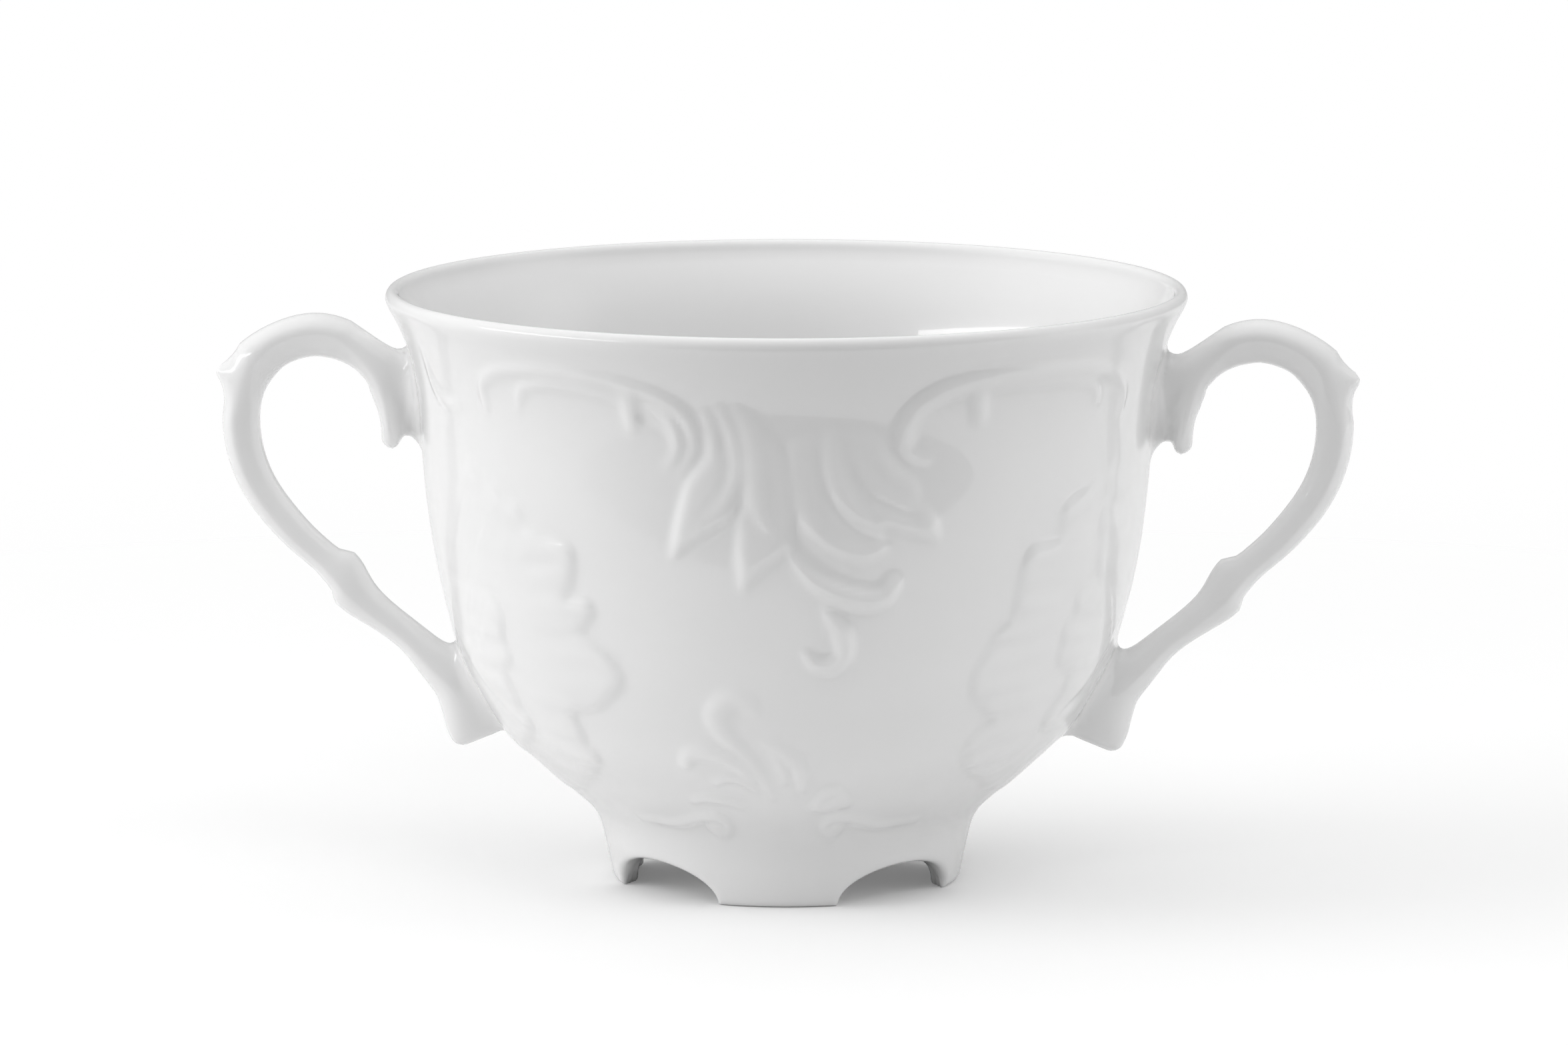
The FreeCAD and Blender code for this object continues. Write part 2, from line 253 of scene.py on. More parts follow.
band([(-66.3, 76.8), (-66.4, 73.6), (-64.8, 71.4), (-61.6, 70.1), (-57.0, 70.6)], [1.6, 2.6, 2.6, 1.8],
    [0.08, 0.24, 0.28, 0.16])
band([(24.8, 66.2), (22.2, 66.8), (21.0, 68.6), (21.2, 70.9), (22.9, 73.2), (26.2, 75.1), (31, 76.3),
    (38, 76.9), (46, 77.1), (54, 76.6), (60, 75.3), (64.2, 73.4), (66.0, 71.2), (65.4, 69.0)],
    [1.4, 2.8, 3.4, 3.4, 3.2, 3.0, 2.8, 2.4, 1.6], [0.1, 0.45, 0.62, 0.62, 0.6, 0.54, 0.48, 0.4, 0.2],
    3.2)
band([(28, 74.5), (34, 75.3), (40, 75.5), (47, 75.5), (53, 74.9), (56.6, 73.4), (57.6, 71.6)],
    [1.4, 2.0, 2.0, 1.5], [0.2, 0.4, 0.4, 0.3])
band([(32.3, 75.6), (32.8, 73.2), (33.2, 71.2)], [3.6, 3.1, 2.7], [0.45, 0.5, 0.42])

# the spray of leaves in the middle
patch([[(-12.4, 63.4), (-13.4, 60.4), (-14.5, 56.6), (-15.2, 52.3)],
    [(-15.2, 52.3), (-10.6, 55.0), (-5.6, 57.8)], [(-5.6, 57.8), (-3.8, 61.4), (-3.4, 66), (-4.6, 70)],
    [(-4.6, 70), (-8.6, 67.2), (-12.4, 63.4)]], 0.6, 1.5, (-6, 71, 0.3, 13))
patch([[(-4.7, 59), (-4.8, 54.6), (-4.7, 51), (-4.0, 47.8)], [(-4.0, 47.8), (-0.9, 50.6), (2.8, 53.4)],
    [(2.8, 53.4), (1.8, 57.6), (-1.6, 60.6)], [(-1.6, 60.6), (-3.4, 60.4), (-4.7, 59)]], 0.55, 1.5,
    (-1, 62, 0.4, 9))
patch([[(-5.2, 73.8), (-3.6, 70.4), (-3.0, 66), (-3.0, 61), (-1.8, 57), (1.6, 54.6), (4.2, 53.2)],
    [(4.2, 53.2), (4.3, 57.6), (3.9, 62), (3.0, 66.4), (0.4, 70)],
    [(0.4, 70), (-2.4, 72.8), (-5.2, 73.8)]], 0.42, 2.2, (-5, 75, 0.1, 9))
band([(-4.4, 73.0), (-2.4, 69.6), (-1.5, 65.6), (-1.2, 61.4), (0.2, 57.6), (3.0, 54.6)],
    [2.4, 4.4, 6.0, 5.6, 4.4, 2.4], [0.1, 0.45, 0.66, 0.68, 0.62, 0.4], 2.0)
band([(-7.0, 73.4), (-5.3, 70), (-4.4, 66.4), (-4.8, 63), (-7, 59.8), (-10.4, 57.0)],
    [1.6, 2.2, 2.4, 2.2, 1.4], [0.15, 0.4, 0.5, 0.56, 0.5])
groove([(-8.4, 71), (-6.6, 68.4), (-6.0, 65.4), (-7.2, 62), (-10.6, 58.8)], [1.4, 1.6, 1.2],
    [0.08, 0.14, 0.05])
band([(-10.2, 64.4), (-9.6, 61.6), (-11.4, 58.6), (-13.4, 56.0)], [1.2, 1.6, 1.2], [0.3, 0.58, 0.5])
patch([[(3.2, 69.2), (9, 70.2), (16.4, 69.8), (18.8, 66.2), (22.8, 63.6), (23.8, 60.4)],
    [(23.8, 60.4), (26.6, 58.4), (27.5, 54.5)], [(27.5, 54.5), (23, 55.6), (18.6, 56.8), (18.2, 53.2)],
    [(18.2, 53.2), (14.6, 51.7), (9.6, 53.6), (5.4, 57), (3.4, 62), (3.2, 69.2)]], 0.3, 1.3,
    (10, 73, 0.1, 8))
band([(4.4, 68.6), (4.7, 64.4), (5.6, 60.4), (7.3, 57.0), (9.8, 54.4)], [1.4, 2.2, 3.0, 3.4, 2.0],
    [0.1, 0.2, 0.42, 0.68, 0.5])
band([(9.8, 55.0), (12.4, 53.9), (15.2, 53.3), (17.4, 53.9)], [2.4, 3.6, 3.8, 2.4], [0.5, 0.66, 0.64, 0.4])
band([(9.7, 69.6), (9.9, 66), (10.8, 62.8), (13.0, 59.8), (15.7, 57.9), (18.2, 57.4)],
    [2.2, 3.2, 3.6, 3.6, 3.2, 1.8], [0.3, 0.55, 0.7, 0.7, 0.62, 0.45])
band([(16.2, 60.2), (18.6, 58.4), (21.4, 57.2), (24.6, 56.6)], [1.6, 2.8, 3.0, 1.6], [0.4, 0.6, 0.62, 0.4])
patch([[(18.0, 57.6), (22.0, 58.2), (25.8, 58.8)], [(25.8, 58.8), (26.8, 56.8), (27.4, 54.6)],
       [(27.4, 54.6), (23.0, 55.3), (18.0, 57.6)]], 0.62, 1.4, (18, 58, 0.4, 6))
band([(13.4, 69), (14.6, 65.2), (17.2, 62.2), (20.6, 60.4), (25.0, 58.8)], [1.6, 2.6, 2.8, 2.4, 1.4],
    [0.2, 0.42, 0.5, 0.46, 0.25])
band([(16.6, 69), (17.5, 66.2), (19.4, 64), (22.4, 62)], [1.6, 2.8, 3.0, 1.8], [0.2, 0.42, 0.46, 0.2])
groove([(7.8, 69.6), (8.0, 65.6), (9.0, 62), (11.2, 58.9), (14, 56.6)], [1.2, 1.6, 1.6, 1.2],
    [0.08, 0.16, 0.16, 0.08])
groove([(12.0, 69), (12.9, 65.4), (15.0, 62), (18.4, 59.4), (23, 57.8)], [1.0, 1.3, 1.3, 1.0],
    [0.06, 0.14, 0.14, 0.06])

# the two comma scrolls
groove([(4.4, 54), (6.2, 51.8), (9.6, 50.2), (13.6, 49.3), (17.4, 49.6)], [1.2, 2.0, 2.6, 2.6, 1.6],
    [0.06, 0.14, 0.18, 0.16, 0.05])
band([(3.4, 54.0), (5.8, 51.0), (9.2, 48.6), (13, 47.2), (16.6, 46.8), (19.0, 47.6), (19.9, 49.0)],
     [1.2, 2.2, 3.0, 3.6, 3.8, 3.4, 2.6], [0.25, 0.55, 0.76, 0.84, 0.84, 0.78, 0.6], 3.2)
band([(8.6, 46.4), (10.6, 44.0), (12.2, 41.4), (12.3, 39.2), (10.9, 37.9), (8.8, 37.6), (7.0, 38.3),
    (6.2, 39.5)], [1.2, 2.4, 3.2, 3.4, 3.2, 3.0, 2.4, 1.6],
    [0.15, 0.5, 0.68, 0.74, 0.74, 0.68, 0.56, 0.35], 3.2)

# the small spray above the foot
band([(-2.8, 31.4), (-4.2, 32.4), (-6.4, 32.7), (-8.6, 31.6), (-9.4, 29.8), (-8.0, 27.2), (-5.6, 24.8),
    (-3.4, 22.6), (-1.4, 19.8), (-0.2, 17.2)], [2.4, 3.6, 4.0, 3.8, 3.2, 2.8, 2.6, 2.2, 1.8, 1.2],
    [0.25, 0.38, 0.42, 0.38, 0.28, 0.24, 0.24, 0.22, 0.16, 0.1])
groove([(-8.0, 29.6), (-5.8, 26.8), (-3.2, 24.4), (-0.8, 21.6), (1.0, 18.4)], [0.9, 1.1, 1.0],
    [0.06, 0.12, 0.05])
band([(-17.0, 22.6), (-16.0, 24.0), (-13, 24.6), (-9.4, 24.0), (-6.2, 22.4), (-4.0, 20.2)],
    [2.0, 2.9, 3.0, 2.6, 2.0, 1.4], [0.35, 0.45, 0.45, 0.4, 0.3, 0.2])
band([(-11.8, 19.7), (-9.6, 20.6), (-6.4, 20.3), (-3.6, 18.6)], [1.6, 2.1, 1.9, 1.4],
    [0.25, 0.34, 0.3, 0.2])
band([(-19.0, 16.3), (-15.6, 16.9), (-11.4, 16.6), (-7.8, 15.8)], [1.4, 2.0, 1.9, 1.4],
    [0.2, 0.3, 0.28, 0.15])
band([(-1.0, 26.2), (2.0, 25.0), (4.6, 23.2), (5.9, 20.8), (6.4, 18.6)], [1.2, 2.3, 2.6, 2.3, 1.4],
    [0.2, 0.36, 0.4, 0.36, 0.2])
band([(0.2, 24.6), (1.8, 22.6), (2.8, 20.0)], [1.2, 1.8, 1.3], [0.2, 0.32, 0.2])
patch([[(7.8, 15.4), (8.9, 17.4), (10.6, 18.9), (14.2, 19.4)], [(14.2, 19.4), (16.2, 18.2), (18.8, 15.8)],
    [(18.8, 15.8), (14.6, 15.0), (11.6, 14.8), (7.8, 15.4)]], 0.36, 1.3, (16, 13, 0.1, 5))
groove([(10.6, 15.4), (12.0, 17.0), (14.6, 18.0)], [0.9, 1.1, 0.8], [0.06, 0.13, 0.05])
for side in (-1, 1):
    patch([[(side * 12.6, 10.8), (side * 11.6, 12.2), (side * 12.8, 13.9), (side * 15.6, 14.8)],
        [(side * 15.6, 14.8), (side * 18.4, 14.0), (side * 19.2, 12.2)],
        [(side * 19.2, 12.2), (side * 18.2, 10.7), (side * 15.4, 9.9), (side * 12.6, 10.8)]], 0.34, 1.8)
    band([(side * 41, 12.0), (side * 34, 11.9), (side * 27, 12.1), (side * 21.6, 13.1),
        (side * 18.0, 13.6)], [1.2, 1.8, 2.2, 2.2], [0.1, 0.22, 0.3, 0.32])
    groove([(side * 20.4, 12.4), (side * 17.6, 12.9), (side * 15.0, 12.8), (side * 14.6, 11.8),
        (side * 16.2, 11.5)], [0.9, 1.2, 1.1, 0.8], [0.06, 0.16, 0.16, 0.08])


def ledge(points, height, slope, fade, rest):
    # a sheet of clay laid over the one below: it steps up at a wavy edge and sinks back towards the handle;
    # height is a list of values along the edge
    edge = mapLine(points, 0.5)
    far = math.copysign(math.radians(89), edge[0][0])
    closed = np.vstack([edge[:, :2], [[far, edge[-1][1] - 5], [far, edge[0][1] + 5]]])
    near, share, _ = trace(edge, 34)
    near = np.minimum(near, 34)
    rise = np.sqrt(np.clip(1 - (1 - np.clip(near / slope, 0, 1)) ** 2, 0, 1))
    sinking = np.exp(-(np.clip(near - slope, 0, None) / fade) ** 2)
    body = along(height, share) * rise * (rest + (1 - rest) * sinking)
    return np.where(insideOf(closed), body, 0)


def swellOver(points, width, height):
    # a fold that swells on top of what is there
    line = mapLine(points)
    near, share, _ = trace(line, np.max(width) / 2 + 0.5)
    q = np.clip(near / (along(width, share) / 2), 0, 1)
    return along(height, share) * (1 - q ** 2) ** 2


relief *= carving["strength"]

# the two shell ruffles beside each handle, the smaller one laid over the larger one
ruffles = [
    {
        "outer": [(-59, 65.6), (-56, 63.6), (-53.6, 62.8), (-52, 61.2), (-48.4, 60.6), (-46.4, 58.6),
            (-43.4, 57.9), (-42.0, 56.4), (-40.4, 55.4), (-38, 54.3), (-35, 53.8), (-32.8, 53.0),
            (-31.8, 51.8), (-32.4, 49), (-33.4, 47), (-34.2, 46.1), (-31.4, 45.9), (-29.4, 45.0),
            (-29.9, 43), (-31.5, 41.3), (-30, 39.8), (-27.8, 38.4), (-26, 36.6), (-25.3, 34.9),
            (-26.5, 33.2), (-29.4, 31.4), (-33.6, 29.6), (-38.4, 28.4), (-37.8, 26.2), (-38.3, 24.1),
            (-37.2, 23.1), (-36.9, 22.1), (-38.6, 20.8), (-41, 19.6), (-46, 18), (-53, 16)],
        "inner": [(-76, 46.6), (-68, 45.2), (-60, 44.9), (-54, 44.4), (-51, 43.2), (-50, 41.2),
            (-51, 38.8), (-50.4, 36.8), (-50.2, 35.2), (-52.8, 33.6), (-53, 31.6), (-52.4, 29.6),
            (-53.6, 28.2), (-51.8, 26.8), (-53, 25.2), (-54.8, 24), (-58, 22.7), (-66, 20.4), (-76, 19)],
        "folds": [[(-62, 60.6), (-57, 60.8), (-52.6, 60.8)], [(-58, 56.6), (-52, 57.4), (-47.0, 58.4)],
            [(-56, 52), (-44, 51.4), (-37.4, 52.4), (-33.4, 52.0)],
            [(-54, 48), (-44, 48.2), (-37, 48.8), (-33.6, 49.2)],
            [(-50, 44), (-42, 44.2), (-36, 44.6), (-30.4, 44.6)],
            [(-48, 41.6), (-40, 41.8), (-33.6, 42.2)],
            [(-48, 37.6), (-40, 37.4), (-34, 37.8), (-27.6, 37.2)],
            [(-48, 33.4), (-42, 33.2), (-36, 33.6), (-28.4, 33.8)],
            [(-49, 30.4), (-44, 30.6), (-37.4, 30.2)], [(-52, 26.6), (-46, 26.0), (-40, 26.2)],
            [(-51, 23.8), (-46, 22.8), (-41, 22.2), (-38, 22.2)],
            [(-56, 20.6), (-50, 19.6), (-43, 19.4)]],
        "valleys": [[(-40.6, 55.4), (-44, 54.6), (-50, 54.8)],
            [(-41.5, 50.2), (-38, 50.6), (-34.4, 50.4)], [(-34.4, 46.2), (-38, 46.4), (-46, 46.2)],
            [(-31.6, 41.2), (-36, 40.2), (-44, 39.8)], [(-29, 39.4), (-34, 39.0), (-40, 38.6)],
            [(-38.4, 28.4), (-42, 28.6), (-48, 28.2)], [(-38.6, 24.0), (-43, 24.3), (-49, 25.2)],
            [(-40, 20.9), (-45, 21.2), (-52, 22)]],
        "innerFolds": [[(-70, 43), (-62, 42), (-55, 41.8), (-51, 41.6)],
            [(-68, 39.6), (-60, 39.4), (-52, 39.0)], [(-68, 35), (-60, 35.2), (-51.4, 35.6)],
            [(-68, 31), (-60, 31.4), (-53.6, 31.6)], [(-64, 27), (-58, 26.4), (-53, 26.4)],
            [(-70, 23.6), (-62, 23.4), (-56, 24.4)]],
        "innerValleys": [[(-50.8, 37.8), (-55, 37.6), (-61, 36.8)],
            [(-53.2, 28.4), (-56.4, 28.6), (-60, 29.6)], [(-52.4, 33.4), (-57, 33.4), (-64, 33)]],
    },
    {
        "outer": [(66, 62), (60, 60.6), (55, 59.4), (51.8, 58.2), (50.5, 56.6), (50.8, 54.6), (50, 53.3),
            (46.4, 52.9), (44, 52.1), (42.8, 50.2), (42.6, 47.6), (42.3, 44.6), (41.4, 42.3), (39, 41),
            (38.5, 39.4), (37.4, 37.6), (36.1, 35.9), (35.8, 34.1), (36.6, 32.3), (38.6, 30.7),
            (41, 29.2), (43, 27.9), (41.4, 26.8), (39.5, 25.7), (39.2, 24.1), (40.3, 22.7), (40.8, 21.5),
            (43, 20.3), (46, 19.5), (51, 17.8), (58, 16)],
        "inner": [(67, 70), (64.6, 66.4), (65.1, 62.4), (63.6, 60.4), (63.8, 58.4), (62, 56.6),
            (61.5, 54), (61.2, 50.4), (62.2, 47.6), (61, 45.9), (58.5, 45.1), (56.9, 43.8), (57.1, 42.2),
            (55.5, 41), (55.2, 38.2), (54.9, 35.9), (57.4, 34), (60, 32.4), (60.1, 30.6), (58.9, 28.6),
            (58.5, 26.6), (59.2, 25.1), (61.4, 24.2), (66, 24), (74, 23)],
        "folds": [[(60, 57.6), (56, 57.4), (52, 56.8)], [(60, 54.6), (55, 53.6), (50.4, 54.6)],
            [(59, 50.6), (52, 50.6), (44.8, 51.2)], [(58, 47.6), (51, 48.4), (43.8, 48.8)],
            [(56, 44.4), (49, 44.4), (43.2, 44.6)], [(54, 41.2), (47, 41.2), (40.4, 40.6)],
            [(53, 37.4), (46, 37.0), (38.6, 36.8)], [(54, 33.6), (47, 33.0), (37.6, 33.4)],
            [(57, 30.4), (50, 30.6), (41.6, 30.2)], [(57, 26.2), (50, 25.8), (41.4, 25.4)],
            [(58, 22.6), (51, 22.0), (43.4, 22.0)], [(60, 20.2), (53, 19.6), (47, 19.9)]],
        "valleys": [[(50.2, 53.4), (54, 54.8), (59, 56)], [(43.4, 46.2), (49, 46.4), (56, 46)],
            [(40.6, 42.4), (46, 42.8), (53, 42.8)], [(38.8, 39), (44, 39), (52, 39.2)],
            [(39.2, 31.6), (45, 31.8), (54, 31.8)], [(42.8, 28.0), (48, 28), (57, 28)],
            [(40.6, 23.1), (46, 23.8), (57, 24.4)], [(43.6, 20.6), (50, 20.9), (58, 21.3)]],
        "innerFolds": [[(72, 60), (68, 61), (65, 61.4)], [(72, 53), (67, 53.4), (62.4, 54)],
            [(72, 47), (67, 47.8), (62.8, 48.6)], [(72, 42), (65, 42.8), (58, 43.4)],
            [(72, 38.6), (64, 38.6), (56, 39.2)], [(72, 35), (65, 35.6), (56.6, 36.4)],
            [(74, 30.6), (68, 30.2), (60.6, 31.6)], [(74, 26.8), (67, 26.2), (60, 26.6)]],
        "innerValleys": [[(62.4, 46.4), (67, 45.4), (73, 45)], [(56, 41), (63, 40.6), (71, 40.4)],
            [(60, 33), (66, 32.8), (72, 33)], [(60, 29), (66, 28.2), (73, 28.6)],
            [(62.4, 57.4), (67, 56.8), (73, 57)]],
    },
]
for ruffle in ruffles:
    outer = ledge(ruffle["outer"], [0.0, 0.34, 0.5, 0.56, 0.5, 0.56, 0.54, 0.52, 0.3], 1.7, 9.0, 0.3)
    for number, points in enumerate(ruffle["folds"]):
        size = (1.0, 0.45, 0.8, 0.6)[number % 4]
        outer = outer + swellOver(points, [3.4, 4.0, 3.2], [0.0, 0.1 * size, 0.17 * size])
    for number, points in enumerate(ruffle["valleys"]):
        size = (1.0, 0.6, 0.4)[number % 3]
        outer = outer - swellOver(points, [2.2, 3.0, 2.8], [0.24 * size, 0.1 * size, 0.0])
    inner = ledge(ruffle["inner"], [0.0, 0.2, 0.4, 0.45, 0.45, 0.45, 0.4, 0.2], 1.7, 7.0, 0.35)
    for number, points in enumerate(ruffle["innerFolds"]):
        size = (0.5, 1.0, 0.7)[number % 3]
        fold = swellOver(points, [3.6, 3.8, 3.0], [0.0, 0.1 * size, 0.16 * size])
        inner = inner + np.where(inner > 0, fold, 0)
    for number, points in enumerate(ruffle["innerValleys"]):
        size = (1.0, 0.6)[number % 2]
        valley = swellOver(points, [2.2, 3.0, 2.6], [0.22 * size, 0.1 * size, 0.0])
        inner = inner - np.where(inner > 0, valley, 0)
    relief = np.maximum(relief, np.clip(outer, 0, None)) + np.clip(inner, 0, None)
relief = np.clip(relief, 0, carving["highest"])


def blurred(values, softness):
    # the glaze rounds every edge and fills every crease a little
    pitchRound = math.radians(carving["degreeStep"]) * carving["meanRadius"]
    for axis, pitch in ((0, carving["pitch"]), (1, pitchRound)):
        reach = int(3 * softness / pitch) + 1
        weights = np.exp(-0.5 * (np.arange(-reach, reach + 1) * pitch / softness) ** 2)
        weights /= weights.sum()
        padding = [(reach, reach) if k == axis else (0, 0) for k in range(2)]
        padded = np.pad(values, padding, mode="edge")
        size = values.shape[axis]
        values = sum(w * np.take(padded, range(k, k + size), axis=axis) for k, w in enumerate(weights))
    return values


relief = blurred(relief, carving["softness"])
print("ornament carved, highest", round(float(relief.max()), 2), "mm")


def reliefAt(angle, distance):
    # the ornament's height at an angle from the front and a distance along the bowl, front and back alike
    angle = (np.asarray(angle) + math.pi / 2) % math.pi
    column = np.clip(angle / math.radians(carving["degreeStep"]), 0, relief.shape[1] - 1.001)
    row = np.clip(np.asarray(distance) / carving["pitch"], 0, relief.shape[0] - 1.001)
    c, r = column.astype(int), row.astype(int)
    u, v = column - c, row - r
    here = relief[r, c] * (1 - v) + relief[r + 1, c] * v
    beside = relief[r, c + 1] * (1 - v) + relief[r + 1, c + 1] * v
    return here * (1 - u) + beside * u


# the body: one closed skin from under the floor, round the feet, up the outside, over the lip and down inside
columnAngles = np.radians(np.concatenate([
    np.linspace(-90, 90, bowl["frontColumns"], endpoint=False),
    np.linspace(90, 270, bowl["backColumns"], endpoint=False),
]))
columns = len(columnAngles)
vertices = []
faces = []


def addRow(radius, height, angles=columnAngles):
    first = sum(len(v) for v in vertices)
    radius = np.broadcast_to(radius, angles.shape)
    height = np.broadcast_to(height, angles.shape)
    vertices.append(np.stack([radius * np.sin(angles), -radius * np.cos(angles), height], 1))
    return first


def joinRows(below, above, count):
    for i in range(count):
        j = (i + 1) % count
        faces.append((below + i, below + j, above + j, above + i))


def archEdge(radius):
    # height of the foot's lower edge at a radius, column by column: feet at 0, 90, 180 and 270 degrees
    quarter = (columnAngles + math.pi / 4) % (math.pi / 2) - math.pi / 4
    fromArch = math.pi / 4 - np.abs(quarter)
    away = radius * np.sin(fromArch) / foot["archHalfWidth"]
    return foot["archHeight"] * np.sqrt(np.clip(1 - away ** 2, 0, 1))


def edgeInset(radius, heights):
    # how far the surface draws back where it rolls over the foot's edge
    edge = archEdge(radius)
    x = columnAngles * radius
    turn = 2 * math.pi * radius
    lineX = np.concatenate([x - turn, x, x + turn])
    lineZ = np.tile(edge, 3)
    numbers = np.arange(len(lineX))
    finer = np.arange(0, len(lineX) - 1, 0.25)
    lineX = np.interp(finer, numbers, lineX)
    lineZ = np.interp(finer, numbers, lineZ)
    result = np.zeros_like(heights)
    for i in range(columns):
        close = np.abs(lineX - x[i]) < 1.5
        away = np.hypot(lineX[close] - x[i], lineZ[close] - heights[:, i:i + 1]).min(1)
        q = np.clip(foot["edgeRound"] - away, 0, None)
        result[:, i] = foot["edgeRound"] - np.sqrt(foot["edgeRound"] ** 2 - q ** 2)
    return result


roll = np.array([0.0, 0.12, 0.3, 0.6, 1.0])  # heights above the edge where the rolled edge needs rows

# underside, from the middle out
inner = foot["innerRadius"]
middle = addRow(0.6, foot["hollow"])
last = middle
for share in (0.15, 0.35, 0.6, 0.8, 0.93):
    row = addRow(inner * share, foot["hollow"])
    joinRows(last, row, columns)
    last = row
corner = foot["cornerRound"]
for turn in np.radians([0, 30, 60, 90]):
    row = addRow(inner - corner + corner * math.sin(turn), foot["hollow"] - corner + corner * math.cos(turn))
    joinRows(last, row, columns)
    last = row
innerEdge = archEdge(inner)
room = foot["hollow"] - corner - innerEdge
innerHeights = [innerEdge + room * t for t in (0.7, 0.4)]
innerHeights += [np.minimum(innerEdge + r, innerEdge + room * (0.05 + 0.25 * r)) for r in roll[::-1]]
innerHeights[-1] = innerEdge
innerHeights = np.array(innerHeights)
innerInset = edgeInset(inner, innerHeights)
for heights, inset in zip(innerHeights, innerInset):
    row = addRow(inner + inset, heights)
    joinRows(last, row, columns)
    last = row
outer = foot["outerRadius"]
outerEdge = archEdge(outer)
for share in (0.33, 0.67):
    radius = inner + foot["edgeRound"] + (outer - inner - 2 * foot["edgeRound"]) * share
    row = addRow(radius, archEdge(radius))
    joinRows(last, row, columns)
    last = row

# outside
outerHeights = [outerEdge + r for r in roll]
for t in np.linspace(0, 1, foot["rows"] + 1)[1:]:
    outerHeights.append(outerHeights[len(roll) - 1] * (1 - t) + foot["blendHeight"] * t)
start = np.interp(foot["blendHeight"], outsideLine[:, 1], outsideAlong)
count = round((outsideAlong[-1] - start) / bowl["rowPitch"])
for distance in np.linspace(start, outsideAlong[-1], count + 1)[1:]:
    outerHeights.append(np.full(columns, np.interp(distance, outsideAlong, outsideLine[:, 1])))
outerHeights = np.array(outerHeights)
outerInset = np.zeros_like(outerHeights)
bent = len(roll) + foot["rows"]
outerInset[:bent] = edgeInset(outer, outerHeights[:bent])
for heights, inset in zip(outerHeights, outerInset):
    distance = np.interp(heights, outsideLine[:, 1], outsideAlong)
    underRim = np.clip((carving["top"] - heights) / carving["fade"], 0, 1)
    overFoot = np.clip((heights - carving["bottom"]) / carving["fade"], 0, 1)
    lift = reliefAt(columnAngles, distance) * underRim * overFoot
    slope = slopeAt(heights)
    lean = 1 / np.sqrt(1 + slope ** 2)
    row = addRow(radiusAt(heights) - inset + lift * lean, heights - lift * slope * lean)
    joinRows(last, row, columns)
    last = row

# lip
rimRadius, rimHeight = outsideLine[-1]
lipInner = bowl["inside"][0][0]
lipHalf = (rimRadius - lipInner) / 2
for turn in np.radians([20, 40, 60, 80, 100, 120, 140, 160]):
    rise = (bowl["height"] - rimHeight) * math.sin(turn)
    row = addRow(lipInner + lipHalf + lipHalf * math.cos(turn), rimHeight + rise)
    joinRows(last, row, columns)
    last = row

# inside: half as many columns
halfAngles = columnAngles[::2]
half = columns // 2
insideLine = smoothLine(bowl["inside"], bowl["insidePitch"])
row = addRow(insideLine[0, 0], insideLine[0, 1], halfAngles)
for i in range(half):
    j = (i + 1) % half
    a, b, c = last + 2 * i, last + 2 * i + 1, last + (2 * i + 2) % columns
    faces += [(a, b, row + i), (b, row + j, row + i), (b, c, row + j)]
last = row
for radius, height in insideLine[1:-1]:
    row = addRow(radius, height, halfAngles)
    joinRows(last, row, half)
    last = row
vertices.append(np.array([[0.0, 0.0, insideLine[-1, 1]], [0.0, 0.0, foot["hollow"]]]))
tip = sum(len(v) for v in vertices) - 2
for i in range(half):
    faces.append((last + i, last + (i + 1) % half, tip))
for i in range(columns):
    faces.append((middle + (i + 1) % columns, middle + i, tip + 1))
bodyVertices = np.vstack(vertices)
print("body built:", len(bodyVertices), "vertices")

